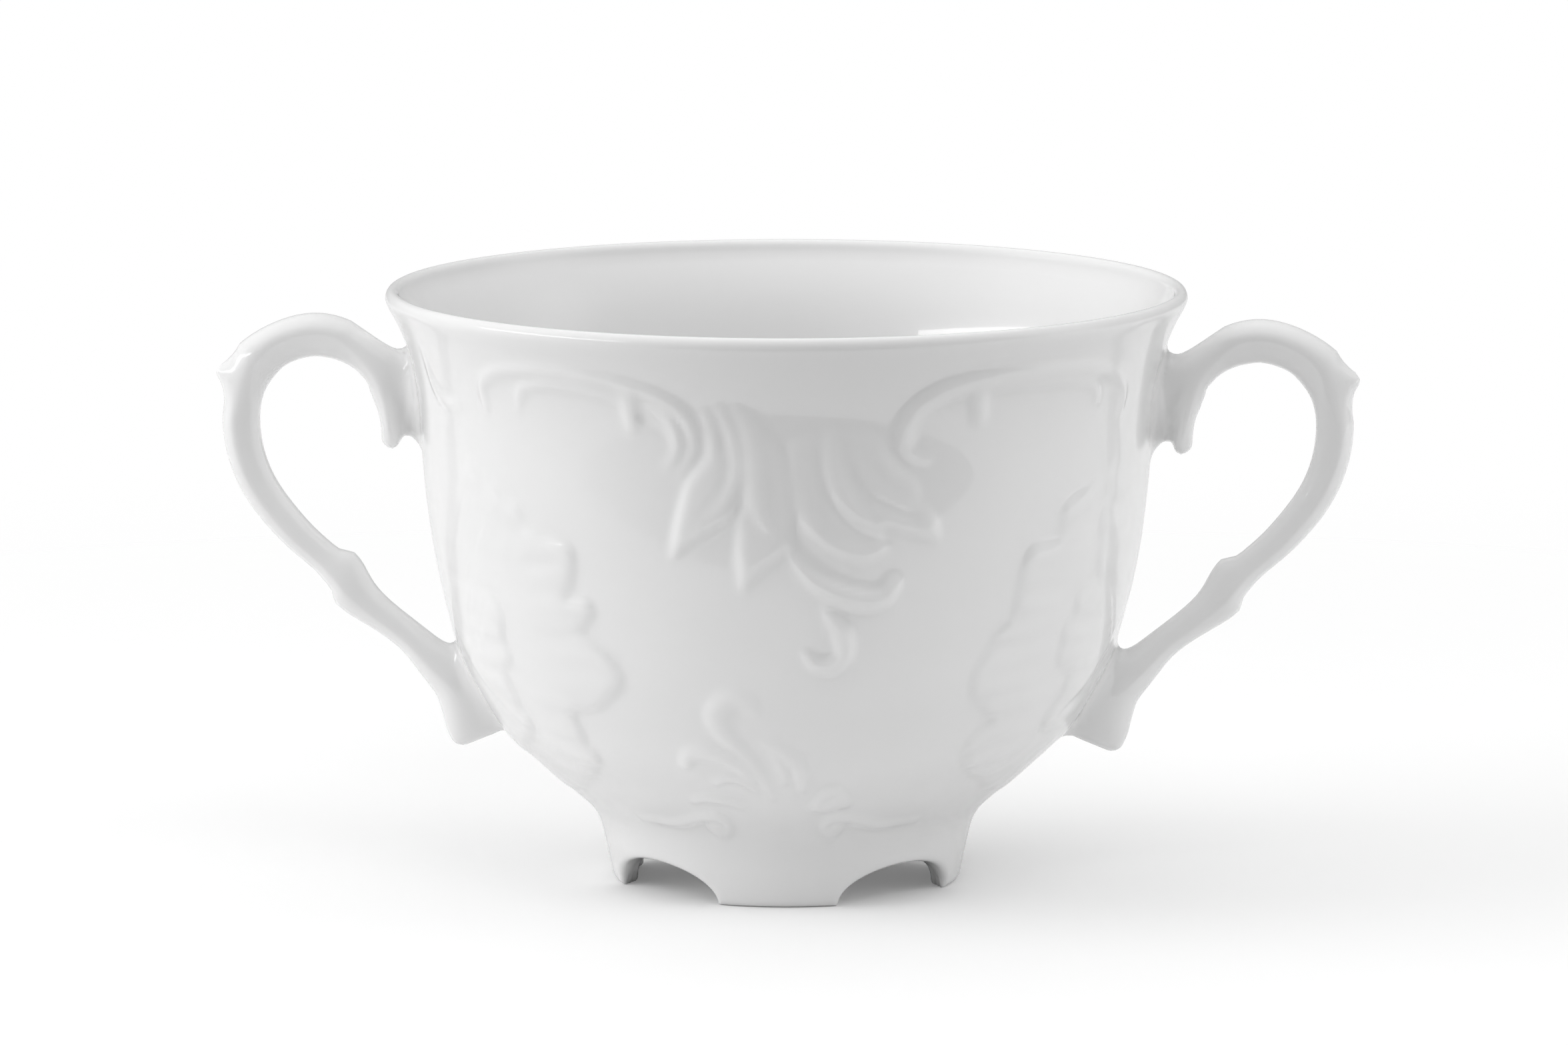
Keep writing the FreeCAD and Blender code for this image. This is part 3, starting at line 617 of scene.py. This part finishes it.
# handles: smooth tubes that grow out of the body, in millimetres and in shares of the reach and height
handle = {
    "reach": 28.3,  # from the bowl to the outer end
    "top": 79.9,
    "tail": 17.8,
    "bar": 6.0,  # the bar's width seen from the front and its depth from the side
    "depth": 6.2,
    "fillet": 3.0,  # how far the corner at a root is filled
    "around": 36,  # points round the bar
    "pitch": 0.85,  # between the rings of a limb
    "tipPitch": 0.3,  # and of its tip
    "least": 0.12,  # half width at a tip
    "rootDepth": 1.2,  # how far a root reaches into the wall of the bowl
    "rootAngle": 16,  # degrees on each side in which the bowl's skin rises to the roots
    "rootLow": 14,
    "rootHigh": 80,
    "seam": 1.7,  # on each side of a seam that is rounded
    "seamPasses": 24,
    # half of the bar's section, from its outer edge over the soft ridge and the flat flank to its inner edge
    "section": [(1.0, 0.0), (0.94, 0.36), (0.70, 0.77), (0.36, 0.99), (-0.1, 0.92), (-0.58, 0.77),
                (-0.90, 0.50), (-1.0, 0.0)],
    "oval": [(1.0, 0.0), (0.92, 0.38), (0.71, 0.71), (0.38, 0.92), (0.0, 1.0), (-0.38, 0.92),
             (-0.71, 0.71), (-0.92, 0.38), (-1.0, 0.0)],
    # share of the reach out from the bowl, share of the height, share of the bar and share of the depth
    "main": [
        (-0.046, 0.812, 2.17, 1.10), (0.055, 0.818, 1.92, 0.88), (0.158, 0.863, 1.08, 0.94),
        (0.281, 0.917, 0.96, 1.00), (0.448, 0.941, 1.01, 1.00), (0.574, 0.931, 1.01, 1.00),
        (0.684, 0.909, 0.98, 1.00), (0.790, 0.867, 0.94, 0.98), (0.871, 0.809, 0.90, 0.97),
        (0.897, 0.744, 0.88, 0.95), (0.881, 0.665, 0.86, 0.94), (0.830, 0.593, 0.83, 0.92),
        (0.749, 0.530, 0.80, 0.90), (0.651, 0.473, 0.75, 0.90), (0.555, 0.427, 0.74, 0.92),
        (0.495, 0.391, 0.80, 1.04), (0.437, 0.352, 0.78, 1.02), (0.348, 0.304, 0.74, 0.92),
        (0.232, 0.248, 0.74, 0.92), (0.162, 0.195, 0.98, 1.00), (0.108, 0.145, 1.28, 1.06),
        (0.127, 0.092, 1.38, 0.90), (0.173, 0.048, 1.38, 0.65), (0.209, 0.022, 1.22, 0.42),
    ],
    # leaves that swell from an edge: share of the height, edge (0 outer, 1 inner), swelling, rise and fall
    "leaves": [(0.862, 0, 1.2, 3.6, 2.2), (0.408, 1, 1.1, 1.1, 4.2), (0.362, 0, 0.95, 1.2, 4.2)],
    "thumbRest": [
        (0.850, 0.812, 0.70, 0.75), (0.905, 0.834, 0.74, 0.70), (0.950, 0.853, 0.64, 0.62),
        (0.986, 0.866, 0.50, 0.48),
    ],
    "curl": [
        (0.290, 0.912, 0.50, 0.81), (0.224, 0.876, 0.62, 1.03), (0.183, 0.828, 0.62, 1.22),
        (0.160, 0.778, 0.60, 1.30), (0.150, 0.740, 0.57, 1.30), (0.149, 0.712, 0.54, 1.22),
        (0.148, 0.687, 0.50, 1.12),
    ],
}


def limbLine(stations):
    # x, z, half width and half depth along a limb, with a round end
    shares = np.array(stations)
    height = handle["tail"] + shares[:, 1] * (handle["top"] - handle["tail"])
    out = radiusAt(height) + shares[:, 0] * handle["reach"]
    halfBar = shares[:, 2] * handle["bar"] / 2
    halfDepth = shares[:, 3] * handle["depth"] / 2
    line = smoothLine(np.stack([out, height, halfBar, halfDepth], 1), 0.1)
    length = (len(line) - 1) * 0.1
    roundness = min(line[-1, 2:])
    kept = np.concatenate([np.arange(0, length - roundness, handle["pitch"]),
                           np.arange(length - roundness, length, handle["tipPitch"]), [length]])
    line = np.stack([np.interp(kept, np.arange(len(line)) * 0.1, line[:, k]) for k in range(4)], 1)
    within = np.clip(roundness - (length - kept), 0, roundness)
    line[:, 2:] -= (roundness - np.sqrt(roundness ** 2 - within ** 2))[:, None]
    line[:, 2:] = np.maximum(line[:, 2:], handle["least"])
    return line


def leafSwelling(line):
    # extra half width at the outer and the inner edge along the bar
    extra = np.zeros((len(line), 2))
    crown = line[:, 1].argmax()
    travelled = np.concatenate([[0], np.cumsum(np.linalg.norm(np.diff(line[:, :2], axis=0), axis=1))])
    for share, edge, size, rise, fall in handle["leaves"]:
        height = handle["tail"] + share * (handle["top"] - handle["tail"])
        at = crown + np.abs(line[crown:, 1] - height).argmin()
        away = travelled - travelled[at]
        extra[:, edge] += size * np.exp(-(away / np.where(away < 0, rise, fall)) ** 2)
    return extra


def closedSection(half, around):
    # even points round a section that is the same on both sides
    points = np.array(half + [(u, -v) for u, v in half[-2:0:-1]])
    ringed = np.vstack([points[-4:], points, points[:5]])
    knots = np.concatenate([[0], np.cumsum(np.linalg.norm(np.diff(ringed, axis=0), axis=1))])
    return splineThrough(knots, ringed, np.linspace(knots[4], knots[4 + len(points)], around, endpoint=False))


def limbTube(line, half, around, extra=0.0):
    # vertices, faces and outward directions of the tube round a limb
    direction = np.gradient(line[:, :2], axis=0)
    direction /= np.linalg.norm(direction, axis=1)[:, None]
    outward = np.stack([-direction[:, 1], direction[:, 0]], 1)
    section = closedSection(half, around)
    u, v = section[None, :, 0], section[None, :, 1]
    run = np.roll(section, -1, axis=0) - np.roll(section, 1, axis=0)
    swelling = np.broadcast_to(extra, (len(line), 2))
    width = line[:, 2:3] + np.where(u > 0, swelling[:, :1], swelling[:, 1:])
    depth = line[:, 3:4]
    x = line[:, 0:1] + outward[:, 0:1] * u * width
    z = line[:, 1:2] + outward[:, 1:2] * u * width
    y = -v * depth
    out, across = run[None, :, 1] * depth, run[None, :, 0] * width
    normal = np.stack([outward[:, 0:1] * out, across, outward[:, 1:2] * out], 2)
    normal /= np.linalg.norm(normal, axis=2)[:, :, None]
    rings = len(line)
    points = np.stack([x, y, z], 2).reshape(-1, 3)
    tubeFaces = []
    for k in range(rings - 1):
        for i in range(around):
            j = (i + 1) % around
            tubeFaces.append((k * around + i, k * around + j, (k + 1) * around + j, (k + 1) * around + i))
    tubeFaces.append(tuple(range(around))[::-1])
    tubeFaces.append(tuple((rings - 1) * around + i for i in range(around)))
    return points, tubeFaces, normal.reshape(-1, 3)


def bodyDistance(p):
    radius = np.hypot(p[:, 0], p[:, 1])
    return (radius - radiusAt(p[:, 2])) / np.sqrt(1 + slopeAt(p[:, 2]) ** 2)


def limbDistance(p, line):
    # signed distance from a limb's surface, near enough for the fillets
    best = np.full(len(p), np.inf)
    direction = np.gradient(line[:, :2], axis=0)
    direction /= np.linalg.norm(direction, axis=1)[:, None]
    for (x, z, width, depth), (dx, dz) in zip(line, direction):
        u = (p[:, 0] - x) * dz - (p[:, 2] - z) * dx
        v = (p[:, 0] - x) * dx + (p[:, 2] - z) * dz
        k = np.sqrt((u / width) ** 2 + (p[:, 1] / depth) ** 2 + 1e-9)
        q = np.hypot(u, p[:, 1])
        inPlane = q * (1 - 1 / k)
        away = np.hypot(np.clip(inPlane, 0, None), v) + np.clip(inPlane, None, 0)
        best = np.minimum(best, np.where(np.abs(v) < 2.0, away, np.inf))
    return best


def blended(p, normal, others, fillet):
    # moves points out along their normals until they lie on the smooth union with the other surfaces
    moved = p.copy()
    shift = np.zeros(len(p))
    for _ in range(4):
        own = shift
        other = np.minimum.reduce([distance(moved) for distance in others])
        mix = np.clip(fillet - np.abs(own - other), 0, None)
        union = np.minimum(own, other) - mix ** 2 / (4 * fillet)
        shift = np.clip(shift - union, 0, fillet / 4)
        moved = p + normal * shift[:, None]
    return moved


mainLine, thumbLine, curlLine = (limbLine(handle[name]) for name in ("main", "thumbRest", "curl"))
limbs = []
for line, half, around, extra, others in (
    (mainLine, "section", handle["around"], leafSwelling(mainLine), [bodyDistance]),
    (thumbLine, "oval", 20, 0.0, []),
    (curlLine, "oval", 24, 0.0, [bodyDistance]),
):
    points, tubeFaces, normal = limbTube(line, handle[half], around, extra)
    if others:
        points = blended(points, normal, others, handle["fillet"])
    radius = np.hypot(points[:, 0], points[:, 1])
    least = radiusAt(points[:, 2]) - handle["rootDepth"]
    points[:, :2] *= np.maximum(1, least / radius)[:, None]
    limbs.append((points, tubeFaces))


def makeObject(name, points, polygons):
    mesh = bpy.data.meshes.new(name)
    mesh.from_pydata((np.asarray(points) * mm).tolist(), [], polygons)
    mesh.update()
    made = bpy.data.objects.new(name, mesh)
    bpy.context.scene.collection.objects.link(made)
    return made


def nearHandle(p):
    # which body vertices lie close to a handle's root, on the outside
    side = np.abs(np.arctan2(p[:, 1], np.abs(p[:, 0]))) < math.radians(handle["rootAngle"])
    return side & (p[:, 2] > handle["rootLow"]) & (p[:, 2] < handle["rootHigh"]) & (bodyDistance(p) > -0.6)


bothLimbs = [lambda q: limbDistance(q, mainLine), lambda q: limbDistance(q, curlLine)]
for sign in (1, -1):
    turned = bodyVertices * [sign, sign, 1]
    chosen = np.nonzero(nearHandle(turned) & (turned[:, 0] > 0))[0]
    p = turned[chosen]
    angle = np.arctan2(p[:, 1], p[:, 0])
    slope = slopeAt(p[:, 2])
    normal = np.stack([np.cos(angle), np.sin(angle), -slope], 1)
    normal /= np.linalg.norm(normal, axis=1)[:, None]
    p = blended(p, normal, bothLimbs, handle["fillet"])
    bodyVertices[chosen] = p * [sign, sign, 1]

cup = makeObject("bouillonCup", bodyVertices, faces)
cutters = []
for sign in (1, -1):
    for points, tubeFaces in limbs:
        cutters.append(makeObject("limb", points * [sign, sign, 1], tubeFaces))
for limb in cutters:
    joint = cup.modifiers.new("join", "BOOLEAN")
    joint.operation = "UNION"
    joint.solver = "MANIFOLD"
    joint.object = limb
whole = bpy.data.meshes.new_from_object(cup.evaluated_get(bpy.context.evaluated_depsgraph_get()))
cup.modifiers.clear()
cup.data = whole
for limb in cutters:
    bpy.data.objects.remove(limb)


def softenSeams(mesh):
    # the glaze rounds the seams where the parts of a handle meet each other and the body
    p = np.empty(len(mesh.vertices) * 3)
    mesh.vertices.foreach_get("co", p)
    p = p.reshape(-1, 3) / mm
    pairs = np.empty(len(mesh.edges) * 2, int)
    mesh.edges.foreach_get("vertices", pairs)
    pairs = pairs.reshape(-1, 2)
    weight = np.zeros(len(p))
    for sign in (1, -1):
        atSide = (sign * p[:, 0] > 34) & (np.abs(p[:, 1]) < 12)
        near = np.nonzero(atSide & (p[:, 2] > handle["rootLow"]))[0]
        q = p[near] * [sign, sign, 1]
        toLimbs = [limbDistance(q, line) for line in (mainLine, thumbLine, curlLine)]
        gaps = np.sort(np.abs([bodyDistance(q)] + toLimbs), axis=0)
        inside = np.hypot(q[:, 0], q[:, 1]) > radiusAt(q[:, 2]) - 1.5
        weight[near] = np.where(inside, np.clip(1.6 - gaps[1] / handle["seam"], 0, 1), 0)
    chosen = np.nonzero(weight > 0)[0]
    marked = weight > 0
    pairs = pairs[marked[pairs].any(1)]
    for _ in range(handle["seamPasses"]):
        total = np.zeros_like(p)
        count = np.zeros(len(p))
        for a, b in ((0, 1), (1, 0)):
            np.add.at(total, pairs[:, a], p[pairs[:, b]])
            np.add.at(count, pairs[:, a], 1)
        mean = total[chosen] / count[chosen, None]
        p[chosen] += 0.6 * weight[chosen, None] * (mean - p[chosen])
    mesh.vertices.foreach_set("co", (p * mm).ravel())
    mesh.update()
    print("seams softened:", len(chosen), "vertices")


softenSeams(cup.data)
cup.data.shade_smooth()
print("handles joined:", len(cup.data.polygons), "faces")


def linearColour(code):
    # sRGB hex to the linear values that shaders use
    parts = [int(code[k:k + 2], 16) / 255 for k in (1, 3, 5)]
    return tuple(c / 12.92 if c <= 0.04045 else ((c + 0.055) / 1.055) ** 2.4 for c in parts) + (1.0,)


def addNode(tree, kind, settings=None, inputs=None, links=None):
    # settings are the node's own properties, inputs its sockets' values, links its sockets' sources
    node = tree.nodes.new(kind)
    for key, value in (settings or {}).items():
        setattr(node, key, value)
    for key, value in (inputs or {}).items():
        node.inputs[key].default_value = value
    for key, source in (links or {}).items():
        tree.links.new(source, node.inputs[key])
    return node


# glazed porcelain
porcelain = {
    "body": "#EFEFEF",  # fired hard paste under a clear glaze
    "shade": "#EEEEEE",  # a touch darker where the glaze lies thinner
    "roughness": 0.22,  # of the body under the glaze
    "glazeRoughness": 0.03,
    "ior": 1.5,
    "glow": 0.6,  # mm that light travels inside the body before it comes out again
    "waveSize": 14.0,  # mm between the slow waves of the glaze
    "waveDepth": 0.012,  # mm
}


def glazedPorcelain():
    # hard-paste porcelain, glazed and fired: white, with a sharp clear reflection over a soft body
    material = bpy.data.materials.new("glazedPorcelain")
    material.use_nodes = True
    tree = material.node_tree
    shader = tree.nodes["Principled BSDF"]
    place = addNode(tree, "ShaderNodeTexCoord")
    waves = {"Scale": 1000 / porcelain["waveSize"], "Detail": 2.0, "Roughness": 0.45}
    wave = addNode(tree, "ShaderNodeTexNoise", inputs=waves, links={"Vector": place.outputs["Object"]})
    tint = addNode(tree, "ShaderNodeValToRGB", links={"Fac": wave.outputs["Fac"]})
    tint.color_ramp.elements[0].position = 0.3
    tint.color_ramp.elements[0].color = linearColour(porcelain["shade"])
    tint.color_ramp.elements[1].position = 0.7
    tint.color_ramp.elements[1].color = linearColour(porcelain["body"])
    bump = addNode(tree, "ShaderNodeBump", inputs={"Strength": 1.0, "Distance": porcelain["waveDepth"] * mm},
                   links={"Height": wave.outputs["Fac"]})
    tree.links.new(tint.outputs["Color"], shader.inputs["Base Color"])
    tree.links.new(bump.outputs["Normal"], shader.inputs["Normal"])
    shader.inputs["Roughness"].default_value = porcelain["roughness"]
    shader.inputs["IOR"].default_value = porcelain["ior"]
    shader.inputs["Subsurface Weight"].default_value = 1.0
    shader.inputs["Subsurface Radius"].default_value = (1.0, 1.0, 1.0)
    shader.inputs["Subsurface Scale"].default_value = porcelain["glow"] * mm
    shader.inputs["Coat Weight"].default_value = 1.0
    shader.inputs["Coat Roughness"].default_value = porcelain["glazeRoughness"]
    return material


cup.data.materials.clear()
cup.data.materials.append(glazedPorcelain())
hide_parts("cup")
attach(cup, "root")
print("porcelain glazed")

# floor, lamps and camera
studio = {
    "table": "#F1F1F1",
    "tableSize": 1.5,  # metres to each side and to the back
    "tableFront": -0.16,  # its front edge, just out of the picture
    "tableRadius": 0.16,  # past this the table fades into the white behind it
    "tableFade": 0.25,
    "tableGlow": 0.12,  # keeps the white of the table up to the camera
}


def makeTable():
    # a matt white table top that keeps the soft shadow and fades into a white background
    mesh = bpy.data.meshes.new("table")
    size = studio["tableSize"]
    front = studio["tableFront"]
    corners = [(-size, front, 0), (size, front, 0), (size, size, 0), (-size, size, 0)]
    mesh.from_pydata(corners, [], [(0, 1, 2, 3)])
    made = bpy.data.objects.new("table", mesh)
    bpy.context.scene.collection.objects.link(made)
    material = bpy.data.materials.new("mattWhiteTable")
    material.use_nodes = True
    tree = material.node_tree
    tree.nodes.clear()
    place = addNode(tree, "ShaderNodeTexCoord")
    far = addNode(tree, "ShaderNodeVectorMath", {"operation": "LENGTH"}, links={0: place.outputs["Object"]})
    reach = {"From Min": studio["tableRadius"], "From Max": studio["tableRadius"] + studio["tableFade"]}
    fade = addNode(tree, "ShaderNodeMapRange", {"interpolation_type": "SMOOTHSTEP"}, reach,
                   {"Value": far.outputs["Value"]})
    path = addNode(tree, "ShaderNodeLightPath")
    seen = addNode(tree, "ShaderNodeMath", {"operation": "MULTIPLY"},
                   links={0: fade.outputs["Result"], 1: path.outputs["Is Camera Ray"]})
    matt = addNode(tree, "ShaderNodeBsdfDiffuse", inputs={"Color": linearColour(studio["table"])})
    glowing = addNode(tree, "ShaderNodeMath", {"operation": "MULTIPLY"}, {1: studio["tableGlow"]},
                      {0: path.outputs["Is Camera Ray"]})
    glow = addNode(tree, "ShaderNodeEmission", links={"Strength": glowing.outputs[0]})
    top = addNode(tree, "ShaderNodeAddShader", links={0: matt.outputs[0], 1: glow.outputs[0]})
    clear = addNode(tree, "ShaderNodeBsdfTransparent")
    mixed = addNode(tree, "ShaderNodeMixShader",
                    links={0: seen.outputs[0], 1: top.outputs[0], 2: clear.outputs[0]})
    addNode(tree, "ShaderNodeOutputMaterial", links={"Surface": mixed.outputs[0]})
    mesh.materials.append(material)
    return made


lamps = {
    # place and size in metres, watts that light the body, watts of the mirror image in the glaze
    "leftWindow": {"place": (-1.0, -0.22, 0.42), "size": (0.7, 0.9), "power": 4.1, "shine": 2.0},
    "rightWindow": {"place": (1.0, 0.0, 0.35), "size": (0.5, 0.8), "power": 2.4, "shine": 2.4},
    "frontHigh": {"place": (0.25, -0.75, 0.95), "size": (0.6, 0.6), "power": 1.8, "shine": 0.0},
    "softbox": {"place": (-1.0, -0.4, 0.33), "size": (1.0, 0.1), "power": 0.0, "shine": 1.5},
}


def addLamp(name, lamp):
    # one lamp lights the body, a fainter twin makes only its mirror image in the glaze
    for part, watts in (("Body", lamp["power"]), ("Shine", lamp["shine"])):
        if watts == 0:
            continue
        data = bpy.data.lights.new(name + part, "AREA")
        data.shape = "RECTANGLE"
        data.size, data.size_y = lamp["size"]
        data.energy = watts
        made = bpy.data.objects.new(name + part, data)
        made.location = lamp["place"]
        aim = Vector((0, 0, 0.05)) - Vector(lamp["place"])
        made.rotation_euler = aim.to_track_quat("-Z", "Y").to_euler()
        made.visible_glossy = part == "Shine"
        made.visible_diffuse = part == "Body"
        bpy.context.scene.collection.objects.link(made)


makeTable()
for name, lamp in lamps.items():
    addLamp(name, lamp)

tent = {
    # brightness of the white tent round the cup, seen from the cup: 1 would be white
    "left": 0.88, "right": 0.2, "front": 0.23, "back": 0.55, "top": 1.08,
}


def makeTent():
    # a white tent, darker on the side where the camera looks in; behind the cup the camera sees it white
    world = bpy.data.worlds.new("tent")
    bpy.context.scene.world = world
    world.use_nodes = True
    tree = world.node_tree
    direction = addNode(tree, "ShaderNodeTexCoord").outputs["Generated"]
    square = addNode(tree, "ShaderNodeVectorMath", {"operation": "MULTIPLY"},
                     links={0: direction, 1: direction})
    sides = []
    for sign, brightness in ((-1, ("left", "front", None)), (1, ("right", "back", "top"))):
        scaled = addNode(tree, "ShaderNodeVectorMath", {"operation": "SCALE"}, {"Scale": sign},
                         {0: direction})
        facing = addNode(tree, "ShaderNodeVectorMath", {"operation": "SIGN"}, links={0: scaled.outputs[0]})
        there = addNode(tree, "ShaderNodeVectorMath", {"operation": "MAXIMUM"}, {1: (0, 0, 0)},
                        {0: facing.outputs[0]})
        part = addNode(tree, "ShaderNodeVectorMath", {"operation": "MULTIPLY"},
                       links={0: there.outputs[0], 1: square.outputs[0]})
        sides.append(addNode(tree, "ShaderNodeVectorMath", {"operation": "DOT_PRODUCT"},
                             {1: [tent.get(name, 0) for name in brightness]}, {0: part.outputs[0]}))
    total = addNode(tree, "ShaderNodeMath",
                    links={0: sides[0].outputs["Value"], 1: sides[1].outputs["Value"]})
    path = addNode(tree, "ShaderNodeLightPath")
    strength = addNode(tree, "ShaderNodeMix", {"data_type": "FLOAT"}, {3: 1.0},
                       {0: path.outputs["Is Camera Ray"], 2: total.outputs[0]})
    background = tree.nodes["Background"]
    background.inputs["Color"].default_value = (1, 1, 1, 1)
    tree.links.new(strength.outputs[0], background.inputs["Strength"])


makeTent()

camera = {
    "place": (0.06602, -1.26617, 0.24371),
    "aim": (-0.00034, -0.00002, 0.05016),
    "lens": 210.7,
}
cameraData = bpy.data.cameras.new("camera")
cameraData.lens = camera["lens"]
cameraData.sensor_width = 36
cameraObject = bpy.data.objects.new("camera", cameraData)
cameraObject.location = camera["place"]
view = Vector(camera["aim"]) - Vector(camera["place"])
cameraObject.rotation_euler = view.to_track_quat("-Z", "Y").to_euler()
bpy.context.scene.collection.objects.link(cameraObject)
bpy.context.scene.camera = cameraObject
bpy.context.scene.view_settings.view_transform = "Standard"
print("studio set")
